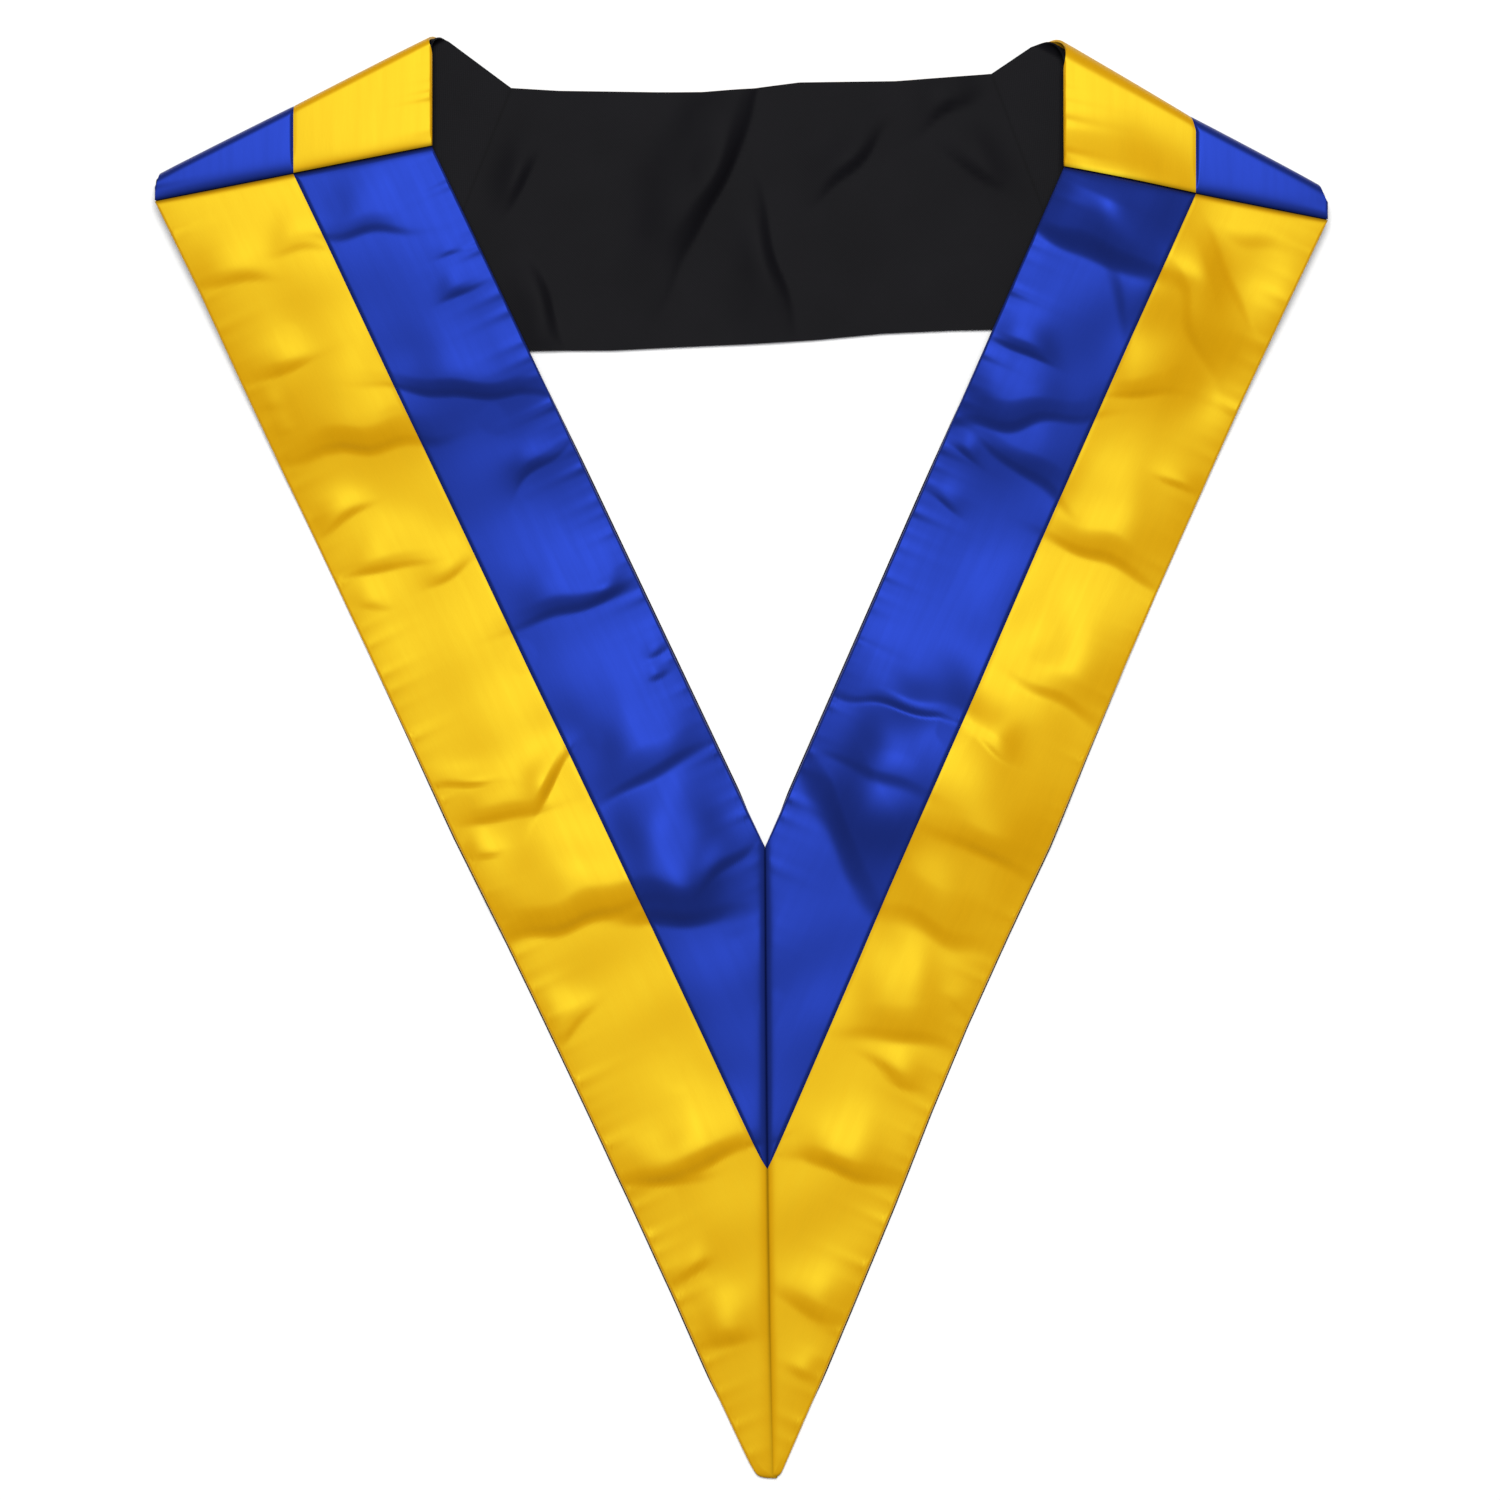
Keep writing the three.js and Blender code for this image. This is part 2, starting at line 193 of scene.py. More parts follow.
# Creases of the back panel. Columns: share from the left mitre to the right one, share down
# from the neck edge, direction in degrees, half length and climb as shares of the panel's
# width, height in millimetres.
BACK_TUCKS = [
    (0.45, 0.36, 64, 0.38, 0.07, 2.4),
    (0.69, 0.34, 48, 0.16, 0.05, 1.2),
    (0.55, 0.68, 104, 0.26, 0.06, 1.3),
    (0.90, 0.14, 30, 0.15, 0.05, 1.0),
    (0.91, 0.39, -33, 0.17, 0.05, 0.8),
    (0.09, 0.36, 53, 0.13, 0.05, 1.0),
    (0.20, 0.82, 113, 0.15, 0.05, 1.1),
]

# The share of the legs' swell height that the back panel has
BACK_SWELL = 0.5

# How far the neck edge and the lower edge of the back panel sag in plan, at even steps from the
# left mitre to the right one, in millimetres
NECK_SAG = (0.0, 1.6, 2.4, 3.2, 3.8, 2.9, 1.1, 1.4, 1.7, 1.0, 0.0)
LOWER_SAG = (0.0, 0.2, 0.6, 1.6, 1.4, 1.3, 0.8, -0.6, -0.7, -0.2, 0.0)

# The form of every tuck: how many times as high it is as its table says, how fast it thins out
# along its foot line, and, in shares of its climb, how far before the foot line it begins, over
# which share of the slope it sets in and how wide the fall behind the crest is. CLIMB_POWER
# rounds the crest.
TUCK_RISE = 1.4
TUCK_TAPER = 1.1
CLIMB_LEAD = 0.1
CLIMB_ONSET = 0.4
CLIMB_POWER = 1.6
FALL_WIDTH = 2.2

# Half the gap that the satin leaves at a seam, and how many times as far the shoulder's satin
# keeps back from the front seam, where the black lining shows as a dark line in place of the shade in
# the seam
HALF_SEAM = 0.03 * MM
FRONT_SEAM_OPENS = 14

# Grids: cells across a leg's stripe, another stripe and a lining, cells along each band, how the
# cells crowd towards the ends, as (share of the cells, share of the length), and the shares of a
# shoulder's cells at which its loop starts and ends
LEG_COLUMNS = 80
STRIPE_COLUMNS = 40
LINING_COLUMNS = 60
LEG_CELLS = 400
SHOULDER_CELLS = 140
BACK_CELLS = 180
CROWD_ACROSS = (0.2, 0.05)
CROWD_ALONG = (0.025, 0.006)
LOOP_STARTS = 0.4
LOOP_ENDS = 0.6

# How far into the cloth these reach: the dip at a seam, the pull of a cross seam on the satin
# that starts at it, the painted shade of a seam between stripes and of a cross seam, the slope
# from an edge to the crown of a stripe, and the puckers
SEAM_REACH = 0.8 * MM
PULL_REACH = 2.6 * MM
SHADE_REACH = 0.6 * MM
CROSS_SHADE_REACH = 1.0 * MM
CROWN_REACH = 8 * MM
PUCKER_REACH = 7 * MM

# How strongly a seam draws each satin down, and how dark the shade painted on it there is: the
# seam between the stripes and a cross seam. The first is pressed towards the yellow, so the blue
# dips there. CROWN_AT_SEAM is the share of the crown that is lost at the seam between the stripes.
STRIPE_SEAM = {"blue": 0.6, "yellow": 0.1}
CROSS_SEAM = {"blue": 1, "yellow": 0.75}
CROWN_AT_SEAM = 0.5

# How far the cloth that lies under keeps back from a free edge on the front and on a shoulder's
# return, and the shares of the shoulder's cells between which the return's takes over. EDGE_PEEK
# is how far the lining shows past the satin low on the legs. It comes in near the tip and dies
# out higher up, each between two shares along the leg. EDGE_LIFT is the air between the lining
# and the satin's turned edge.
EDGE_INSET = 0.4 * MM
RETURN_INSET = 1.5 * MM
RETURN_BEGINS = (0.36, 0.46)
EDGE_PEEK = 0.45 * MM
PEEK_BEGINS = (0.024, 0.084)
PEEK_STOPS = (0.5, 0.8)
EDGE_LIFT = 0.1 * MM

# Where the rim of a finished sheet turns by more than this, it is shaded as a sharp edge.
RIM_ANGLE = math.radians(50)

# Names of the cloth's own map, in metres across and along its threads, and of its mask of painted seam
# shade
THREAD_MAP = "Threads"
SEAM_SHADE_MASK = "Seam"

# The satin's shine, how much its roughness varies, and how many of its broad streaks come to one
# thread across and to one floating length along
SATIN_IOR = 1.75
SATIN_ROUGHNESS = 0.4
ROUGHNESS_SPREAD = 0.06
STREAKS_ACROSS = 0.12
STREAKS_ALONG = 0.1

# How much lighter the lining's threads are on top of the weave than between, as a share
WEAVE_CONTRAST = 0.3

# The floor's side, the camera, the width and middle of the stretch of floor in the picture, the
# softbox, and the strength of the white sky
FLOOR_SIZE = 40.0
CAMERA_LENS = 150.0
CAMERA_SENSOR = 36.0
VIEW_WIDTH = 0.564
VIEW_MIDDLE = (0.00322, 0.00214)
SOFTBOX_PLACE = (0, 0.8, 4.1)
SOFTBOX_SIZE = 1.5
SOFTBOX_POWER = 170
SKY_STRENGTH = 0.25


class CollarCloth(bpy.types.PropertyGroup):
    satin_thickness: bpy.props.FloatProperty(
        name="Satin thickness",
        description="Thickness of the satin with its interlining",
        default=0.9 * MM,
        min=0.2 * MM,
        max=1.4 * MM,
        unit="LENGTH",
    )
    lining_thickness: bpy.props.FloatProperty(
        name="Lining thickness",
        description="Thickness of the black lining",
        default=0.6 * MM,
        min=0.2 * MM,
        max=1.0 * MM,
        unit="LENGTH",
    )
    turned_edge: bpy.props.FloatProperty(
        name="Turned edge",
        description="Width over which the satin turns down at a free edge",
        default=0.9 * MM,
        min=0.5 * MM,
        max=4.0 * MM,
        unit="LENGTH",
    )
    crown: bpy.props.FloatProperty(
        name="Crown",
        description="Height that a stripe swells between its edge and its seam",
        default=0.6 * MM,
        min=0.0,
        max=1.5 * MM,
        unit="LENGTH",
    )
    seam_dip: bpy.props.FloatProperty(
        name="Seam dip",
        description="Depth that a sewn seam pulls the satin down",
        default=0.7 * MM,
        min=0.0,
        max=0.9 * MM,
        unit="LENGTH",
    )
    pucker_height: bpy.props.FloatProperty(
        name="Pucker height",
        description="Height of the small puckers that the stitching draws along the edges",
        default=0.16 * MM,
        min=0.0,
        max=1.0 * MM,
        unit="LENGTH",
    )
    swell_height: bpy.props.FloatProperty(
        name="Swell height",
        description="Height of the low, wide waves of the cloth between its creases",
        default=0.5 * MM,
        min=0.0,
        max=2.0 * MM,
        unit="LENGTH",
    )


class CollarColours(bpy.types.PropertyGroup):
    yellow: bpy.props.FloatVectorProperty(
        name="Yellow satin",
        description="Colour of the golden yellow stripes",
        default=(0.58, 0.28, 0.002),
        size=3,
        min=0.0,
        max=1.0,
        subtype="COLOR",
    )
    yellow_gloss: bpy.props.FloatVectorProperty(
        name="Yellow gloss",
        description="Colour of the light that the yellow threads throw back",
        default=(0.78, 0.80, 0.05),
        size=3,
        min=0.0,
        max=1.0,
        subtype="COLOR",
    )
    blue: bpy.props.FloatVectorProperty(
        name="Blue satin",
        description="Colour of the royal blue stripes",
        default=(0.008, 0.018, 0.13),
        size=3,
        min=0.0,
        max=1.0,
        subtype="COLOR",
    )
    blue_gloss: bpy.props.FloatVectorProperty(
        name="Blue gloss",
        description="Colour of the light that the blue threads throw back",
        default=(0.042, 0.112, 1.0),
        size=3,
        min=0.0,
        max=1.0,
        subtype="COLOR",
    )
    lining: bpy.props.FloatVectorProperty(
        name="Lining",
        description="Colour of the black lining",
        default=(0.005, 0.0048, 0.0062),
        size=3,
        min=0.0,
        max=1.0,
        subtype="COLOR",
    )
    floor: bpy.props.FloatVectorProperty(
        name="Floor",
        description="Colour of the pale floor",
        default=(0.92, 0.92, 0.92),
        size=3,
        min=0.0,
        max=1.0,
        subtype="COLOR",
    )


# Plan of the collar. A half's own points have x outward on both sides; in_plan puts them in place.

def smooth(t):
    t = np.clip(t, 0, 1)
    return t * t * (3 - 2 * t)


def share_between(value, start, end):
    return np.clip((value - start) / (end - start), 0, 1)


def smooth_between(value, start, end):
    return smooth(share_between(value, start, end))


def nearness(gap, within):
    return np.exp(-((gap / within) ** 2))


def cross(a, b):
    return a[0] * b[1] - a[1] * b[0]


def heading(angle):
    return np.array([math.cos(angle), math.sin(angle)])


def reach(start, direction, lengths):
    return start + np.multiply.outer(lengths, direction)


def in_plan(half, points):
    return points * np.array([half["sign"], 1])


def lay_out(half):
    """Works out the lines of one half from its sizes."""
    lean, crest = half["lean"], half["crest"]
    half["along"] = heading(math.pi / 2 - lean)
    half["across"] = heading(-lean)
    half["seam_slope"] = math.tan(lean - half["seam"])
    half["seam_inner"] = half["inner"] * half["along"]
    outer_length = half["inner"] + half["width"] * half["seam_slope"]
    half["seam_outer"] = outer_length * half["along"] + half["width"] * half["across"]
    half["crest_along"] = heading(-crest)
    half["crest_out"] = heading(math.pi / 2 - crest)
    half["strip_width"] = half["seam_outer"][0] - half["seam_inner"][0]
    rise = half["above_seam"] + half["strip_width"] * math.tan(crest)
    half["crest_inner"] = np.array([half["seam_inner"][0], half["seam_outer"][1] + rise])
    half["backward"] = -heading(math.pi / 2 - 2 * crest)
    half["sideways"] = heading(-2 * crest)
    half["neck"] = (
        half["crest_inner"]
        - (LOOP_LENGTH * math.tan(crest) + half["fold_slide"]) * half["crest_along"]
        + half["neck_return"] * half["backward"]
    )


def find_tip():
    """Where the outer edges of the two legs would meet"""
    spread = math.sin(left["lean"] + right["lean"])
    y = -(left["width"] * math.cos(right["lean"]) + right["width"] * math.cos(left["lean"])) / spread
    x = (right["width"] + y * math.sin(right["lean"])) / math.cos(right["lean"])
    return np.array([x, y])


def find_lower_corner(half, other):
    """Where the back panel's lower edge meets the outer edge of a shoulder's return"""
    start = in_plan(half, half["neck"]) - np.array([0, half["back_width"]])
    edge = in_plan(other, other["neck"]) - np.array([0, other["back_width"]]) - start
    outer = in_plan(half, half["neck"] + half["strip_width"] * half["sideways"])
    way = in_plan(half, half["backward"])
    return outer + way * cross(edge, start - outer) / cross(edge, way)


left = HALVES["left"]
right = HALVES["right"]
for half in (left, right):
    lay_out(half)
tip = find_tip()
for half, other in ((left, right), (right, left)):
    half["tip_along"] = in_plan(half, tip) @ half["along"]
    half["neck_corner"] = in_plan(half, half["neck"])
    half["lower_corner"] = find_lower_corner(half, other)
level_y = min(left["seam_outer"][1], right["seam_outer"][1])
touch_down_y = TOUCH_DOWN * level_y


# Height of the cloth over its plan

def make_tuck(point, foot, climb_way, size, row):
    """foot is the direction of the tuck's foot line, and climb_way that in which it climbs."""
    half_length, climb, height = row[3:]
    return {
        "point": point,
        "foot": foot / (half_length * size),
        "climb": climb_way / (climb * size),
        "height": height * MM,
    }


def leg_tucks(half, rows):
    for row in rows:
        point = row[0] * half["inner"] * half["along"] + row[1] * half["width"] * half["across"]
        turn = math.radians(row[2]) - half["lean"]
        foot = in_plan(half, heading(turn))
        climb_way = in_plan(half, heading(turn + math.pi / 2))
        yield make_tuck(in_plan(half, point), foot, climb_way, half["width"], row)


def tuck_height(points, tuck):
    away = points - tuck["point"]
    taper = np.exp(-TUCK_TAPER * (away @ tuck["foot"]) ** 2)
    up = away @ tuck["climb"]
    slope = np.clip(up + CLIMB_LEAD, 0, 1 + CLIMB_LEAD) / (1 + CLIMB_LEAD)
    climb = (1 - (1 - slope) ** CLIMB_POWER) * smooth(slope / CLIMB_ONSET)
    fall = nearness(np.maximum(0, up - 1), FALL_WIDTH)
    return TUCK_RISE * tuck["height"] * taper * climb * fall


def wander(points, seed, lengths=(26 * MM, 38 * MM, 54 * MM), sway=4.4 * MM):
    """Moves plan points about a little, so that creases bend as they do in cloth."""
    moved = [swell(points, seed + axis, lengths) - 0.5 for axis in (0, 1)]
    return points + sway * np.column_stack(moved)


def swell(points, seed, lengths=(31 * MM, 43 * MM, 58 * MM), uneven=0.15, waves=9):
    """Low random waves from 0 to about 1, the same on every run"""
    random = np.random.default_rng(seed)
    total = 0
    for number in range(waves):
        way = heading(random.uniform(0, math.pi))
        length = lengths[number % len(lengths)] * random.uniform(1 - uneven, 1 + uneven)
        total = total + np.sin(2 * math.pi * (points @ way / length + random.uniform(0, 1)))
    return np.maximum(0, 0.5 + total / math.sqrt(8 * waves))


def ripple(run, seed, lengths=(6.5 * MM, 9 * MM, 13 * MM, 21 * MM)):
    """Uneven small waves along an edge, from 0 to about 1"""
    random = np.random.default_rng(seed)
    total = sum(np.sin(2 * math.pi * (run / length + random.uniform(0, 1))) for length in lengths)
    return np.clip(0.5 + 0.3 * total, 0, 1.3) ** 2


all_leg_tucks = [
    *leg_tucks(left, LEG_TUCKS["left"]),
    *leg_tucks(right, LEG_TUCKS["right"]),
]


def front_height(points, cloth):
    """Height of the lining's under face on the front cloth"""
    outward = np.abs(points[:, :1]) * (1, 0) + points * (0, 1)
    below_crest = np.where(
        points[:, 0] < 0,
        (left["crest_inner"] - outward) @ left["crest_out"],
        (right["crest_inner"] - outward) @ right["crest_out"],
    )
    rise = smooth_between(points[:, 1], touch_down_y, level_y)
    waves = cloth.swell_height * swell(points, seed=11)
    bent = wander(points, seed=31)
    for tuck in all_leg_tucks:
        waves += tuck_height(bent, tuck)
    return LOOP_TOP * rise + waves * smooth(below_crest / CREST_FADE)


# The bands. Each is a stretch of two satin stripes side by side on one lining, and says where a
# point of its cloth lies: share runs along the band, offset across it from its inner edge, and
# layer is the height above the lining's bare face. gap is left free along the seams at its ends.
# ends and run are measured along the cloth, and kept_back is how far a layer keeps back from the
# band's free edges.

class LegBand:
    """A leg, from the centre seam up to the front shoulder seam"""

    def __init__(self, side, gap):
        self.half = HALVES[side]
        self.gap = gap
        self.name = f"{side}_leg"
        self.stripes = (("inner", "blue"), ("outer", "yellow"))
        self.width = self.half["width"]
        self.cells = LEG_CELLS
        self.columns = LEG_COLUMNS
        self.turned = self.half["sign"] < 0
        self.held = "laid"
        self.pulls = (PULL_REACH, SEAM_REACH)
        self.stray = np.array(EDGE_STRAY[side]) * MM

    def kept_back(self, share, is_lining):
        """The lining keeps back near the shoulder and just shows as a dark line lower down."""
        shows = smooth_between(share, *PEEK_BEGINS) * (1 - smooth_between(share, *PEEK_STOPS))
        return (EDGE_INSET - (EDGE_INSET + EDGE_PEEK) * shows) * is_lining

    def ends(self, offset):
        slope = self.half["tip_along"] / self.width
        seam = slope * offset + self.gap * math.hypot(1, slope)
        middle = self.width - TIP_RADIUS
        past = np.clip(offset - middle, 0, TIP_RADIUS)
        rounded = slope * middle - np.sqrt(TIP_RADIUS ** 2 - past ** 2)
        start = np.where(offset > middle, np.maximum(seam, rounded), seam)
        return start, self.half["inner"] + offset * self.half["seam_slope"] - self.gap

    def run(self, share, offset):
        start, end = self.ends(offset)
        return start + (end - start) * share

    def place(self, share, offset, layer, cloth):
        half = self.half
        run = self.run(share, offset)
        own = reach(0, half["along"], run) + reach(0, half["across"], offset)
        steps = np.linspace(0, 1, len(self.stray))
        stray = np.interp(share, steps, self.stray) * (offset / self.width) ** 2
        own[:, 0] += stray * (1 - np.exp(-own[:, 0] / STRAY_FADE))
        points = in_plan(half, own)
        return points, front_height(points, cloth) + layer


class ShoulderBand:
    """A shoulder, from the front seam over the crest and back to the mitre of the back panel"""

    def __init__(self, side, gap):
        self.half = HALVES[side]
        self.gap = gap
        self.name = f"{side}_shoulder"
        self.stripes = (("inner", "yellow"), ("outer", "blue"))
        self.width = self.half["strip_width"]
        self.cells = SHOULDER_CELLS
        self.columns = STRIPE_COLUMNS
        self.turned = self.half["sign"] < 0
        self.held = "folded"
        self.pulls = (PULL_REACH, SEAM_REACH)

    def kept_back(self, share, is_lining):
        """Front and return show different sides of the cloth."""
        on_return = smooth_between(share, *RETURN_BEGINS)
        return EDGE_INSET * (1 - on_return) if is_lining else RETURN_INSET * on_return

    def past_crest(self, offset, distance):
        """Points on the crest line that lie beside the cloth at a distance past the crest"""
        half = self.half
        along_crest = (offset - distance * math.sin(half["crest"])) / math.cos(half["crest"])
        along_crest -= half["fold_slide"] * distance / LOOP_LENGTH
        return reach(half["crest_inner"], half["crest_along"], along_crest)

    def lines(self, offset):
        """Plan points of the front seam, the crest, the loop's lower end and the mitre"""
        half = self.half
        # The opened seam lets the black lining show as a dark line, standing in for the shade in the
        # seam.
        lift = np.array([0, FRONT_SEAM_OPENS * self.gap])
        seam = reach(half["seam_inner"] + lift, np.array([1, -math.tan(half["seam"])]), offset)
        mitre_way = (half["lower_corner"] - half["neck_corner"]) / self.width
        mitre = in_plan(half, reach(half["neck_corner"], mitre_way, offset))
        mitre -= self.gap * half["backward"]
        return seam, self.past_crest(offset, 0), self.past_crest(offset, LOOP_LENGTH), mitre

    def lengths(self, offset):
        """Lengths of the front and of the return"""
        seam, crest, turned, mitre = self.lines(offset)
        return np.linalg.norm(crest - seam, axis=1), np.linalg.norm(mitre - turned, axis=1)

    def ends(self, offset):
        front, back = self.lengths(offset)
        return 0 * offset, front + LOOP_LENGTH + back

    def stretches(self, share):
        """How far a share has come along the front, round the loop and along the return"""
        front = share_between(share, 0, LOOP_STARTS)
        loop = share_between(share, LOOP_STARTS, LOOP_ENDS)
        back = share_between(share, LOOP_ENDS, 1)
        return front, loop, back

    def run(self, share, offset):
        front_length, back_length = self.lengths(offset)
        front, loop, back = self.stretches(share)
        return front * front_length + loop * LOOP_LENGTH + back * back_length

    def place(self, share, offset, layer, cloth):
        half = self.half
        seam, crest, turned, mitre = self.lines(offset)
        front, loop, back = self.stretches(share)
        on_front = in_plan(half, seam + (crest - seam) * front[:, None])
        on_return = in_plan(half, turned + (mitre - turned) * back[:, None])
        angle = math.pi * loop
        layer = layer - smooth(loop) * np.maximum(0, layer - SATIN_TOP)
        squareness = np.interp(offset, (0, self.width), half["fold"])
        depth = np.interp(offset, (0, self.width / 2), half["fold_depth"])
        rounding = np.abs(np.sin(angle)) ** squareness + np.abs(np.cos(angle)) ** squareness
        radius = (LOOP_RADIUS + layer) * rounding ** (-1 / squareness)
        bulge = reach(0, half["crest_out"], depth * radius * np.sin(angle))
        on_loop = in_plan(half, self.past_crest(offset, LOOP_RADIUS * angle) + bulge)

        before = share <= LOOP_STARTS
        after = share >= LOOP_ENDS
        points = np.where(before[:, None], on_front, np.where(after[:, None], on_return, on_loop))
        looped = SATIN_TOP + LOOP_RADIUS + radius * np.cos(angle)
        height = np.where(before, front_height(points, cloth) + layer, looped)
        return points, np.where(after, SATIN_TOP - layer, height)


class BackBand:
    """The back panel, lying under with its lining up, from the left mitre to the right one"""

    def __init__(self, side, gap):
        self.gap = gap
        self.name = side
        self.stripes = (("neck", "yellow"), ("lower", "blue"))
        self.width = left["back_width"]
        self.cells = BACK_CELLS
        self.columns = STRIPE_COLUMNS
        self.turned = True
        self.held = "laid"
        self.pulls = (SEAM_REACH, SEAM_REACH)
        self.tucks = [self.panel_tuck(row) for row in BACK_TUCKS]

    def kept_back(self, share, is_lining):
        return EDGE_INSET * (not is_lining)

    def plan(self, share, offset):
        down = offset / self.width
        start = reach(left["neck_corner"], left["lower_corner"] - left["neck_corner"], down)
        end = reach(right["neck_corner"], right["lower_corner"] - right["neck_corner"], down)
        start = start + (self.gap, 0)
        end = end - (self.gap, 0)
        points = start + (end - start) * np.reshape(share, (-1, 1))
        steps = np.linspace(0, 1, len(NECK_SAG))
        sag = np.interp(share, steps, NECK_SAG) * (1 - down) + np.interp(share, steps, LOWER_SAG) * down
        return points - np.column_stack((0 * sag, sag * MM))

    def panel_tuck(self, row):
        point = self.plan(np.array([row[0]]), np.array([row[1] * self.width]))[0]
        turn = math.radians(row[2])
        return make_tuck(point, heading(turn), heading(turn + math.pi / 2), self.width, row)

    def ends(self, offset):
        start = self.plan(np.zeros_like(offset), offset)[:, 0]
        return start, self.plan(np.ones_like(offset), offset)[:, 0]

    def run(self, share, offset):
        return self.plan(share, offset)[:, 0]

    def place(self, share, offset, layer, cloth):
        points = self.plan(share, offset)
        waves = BACK_SWELL * cloth.swell_height * swell(points, seed=23)
        bent = wander(points, seed=47)
        for tuck in self.tucks:
            waves += tuck_height(bent, tuck)
        fade = smooth(np.minimum(share, 1 - share) / MITRE_FADE)
        return points, SATIN_TOP - np.minimum(layer, SATIN_TOP) + fade * waves


# Making a piece of cloth

def crowd(share, crowding):
    """Moves evenly spaced shares so that cells crowd towards both ends."""
    cells, length = crowding
    return np.interp(share, (0, cells, 1 - cells, 1), (0, length, 1 - length, 1))


def lay_cloth(name, band, span, columns, cells, layer_at, cloth):
    """Lays a grid over span, a band's offsets from and to. layer_at gives each point's layer and
    the shade painted at its seams; without it, the plain lining is laid, with shade painted near its
    ends. The layer that lies under keeps back from the band's free edges."""
    mesh_work = bmesh.new()
    bmesh.ops.create_grid(mesh_work, x_segments=columns, y_segments=cells, size=0.5)
    if band.turned:
        bmesh.ops.reverse_faces(mesh_work, faces=mesh_work.faces)
    mesh = bpy.data.meshes.new(name)
    mesh_work.to_mesh(mesh)
    mesh_work.free()

    corners = np.empty(3 * len(mesh.vertices))
    mesh.vertices.foreach_get("co", corners)
    across, share = corners.reshape(-1, 3)[:, :2].T + 0.5
    share = crowd(share, CROWD_ALONG)
    kept_back = band.kept_back(share, is_lining=layer_at is None)
    starts = span[0] + kept_back * (span[0] == 0)
    stops = span[1] - kept_back * (span[1] == band.width)
    offset = starts + (stops - starts) * crowd(across, CROWD_ACROSS)
    run = band.run(share, offset)
    start, end = band.ends(offset)
    from_ends = (run - start, end - run)
    if layer_at is None:
        layer = np.full_like(offset, cloth.lining_thickness)
        # The lining gets painted shade near its ends, where it meets the next piece.
        seam = nearness(np.minimum(*from_ends), SHADE_REACH)
    else:
        layer, seam = layer_at(offset, run, from_ends)
    points, height = band.place(share, offset, layer, cloth)
    placed = np.column_stack((points - PLAN_MIDDLE, height))
    mesh.vertices.foreach_set("co", placed.ravel())

    used = np.empty(len(mesh.loops), dtype=np.int32)
    mesh.loops.foreach_get("vertex_index", used)
    thread_map = mesh.uv_layers.new(name=THREAD_MAP)
    thread_map.data.foreach_set("uv", np.column_stack((offset, run))[used].ravel())
    seam_mask = mesh.attributes.new(SEAM_SHADE_MASK, "FLOAT", "POINT")
    seam_mask.data.foreach_set("value", seam)
    mesh.shade_smooth()
    mesh.update()
    piece = bpy.data.objects.new(name, mesh)
    bpy.context.scene.collection.objects.link(piece)
    return piece


def cut_size(band, span, steps=60):
    """Width, length and area that the cloth was cut to"""
    offset = np.linspace(*span, steps)
    start, end = band.ends(offset)
    width = span[1] - span[0]
    return (width, float(end.max() - start.min())), width * float((end - start).mean())


def finish_cloth(piece, band, node, span, thickness, slot):
    """Gives a laid sheet its wall and its material, and hides the CAD node that it dresses."""
    wall = piece.modifiers.new("Wall", "SOLIDIFY")
    wall.thickness = thickness
    wall.offset = -1
    wall.use_even_offset = True
    triangles = piece.modifiers.new("Triangles", "TRIANGULATE")
    triangles.quad_method = "SHORTEST_DIAGONAL"
    view_layer = bpy.context.view_layer
    view_layer.update()
    finished = bpy.data.meshes.new_from_object(piece.evaluated_get(view_layer.depsgraph))
    finished.set_sharp_from_angle(angle=RIM_ANGLE)
    piece.modifiers.clear()
    one_layer = piece.data
    piece.data = finished
    bpy.data.meshes.remove(one_layer)
    finished.name = piece.name
    finished.materials.append(cloth_material(slot))
    flat, area = cut_size(band, span)
    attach(piece, "root")
    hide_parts(node)


def sew_stripe(band, which, colour, cloth):
    """One satin stripe, turned down at its free edge, drawn down at its seams and with shade painted
    along them
    """
    inner = which == band.stripes[0][0]
    middle = band.width / 2
    span = (0, middle - HALF_SEAM) if inner else (middle + HALF_SEAM, band.width)
    edge_drop = SATIN_TOP - cloth.satin_thickness - cloth.lining_thickness - EDGE_LIFT
    seed = sum(map(ord, band.name + which))

    def layer_at(offset, run, from_ends):
        from_edge = offset if inner else band.width - offset
        from_seam = np.abs(offset - middle) - HALF_SEAM
        turn = np.clip(1 - from_edge / cloth.turned_edge, 0, 1)
        edge = edge_drop * (1 - np.sqrt(1 - turn ** 2))
        pulls = sum(np.exp(-gap / pull) for gap, pull in zip(from_ends, band.pulls))
        pulled = CROSS_SEAM[colour] * pulls
        sewn = np.maximum(pulled, STRIPE_SEAM[colour] * nearness(from_seam, SEAM_REACH))
        crown = 1 - np.exp(-from_edge / CROWN_REACH)
        crown *= 1 - CROWN_AT_SEAM * np.exp(-from_seam / CROWN_REACH)
        pucker = ripple(run, seed) * np.exp(-from_edge / PUCKER_REACH) * (1 - turn)
        raised = (cloth.crown * crown + cloth.pucker_height * pucker) * (1 - pulled)
        lowered = np.maximum(edge, cloth.seam_dip * sewn)
        # Shade painted along the cross seams and along the seam between the stripes
        cross_shade = CROSS_SEAM[colour] * nearness(np.minimum(*from_ends), CROSS_SHADE_REACH)
        stripe_shade = STRIPE_SEAM[colour] * nearness(from_seam, SHADE_REACH)
        return SATIN_TOP - lowered + raised, np.maximum(cross_shade, stripe_shade)

    node = f"{band.name}_{which}_stripe"
    piece = lay_cloth(f"{node}_satin", band, span, band.columns, band.cells, layer_at, cloth)
    slot = f"{colour}_satin"
    finish_cloth(piece, band, node, span, cloth.satin_thickness, slot)


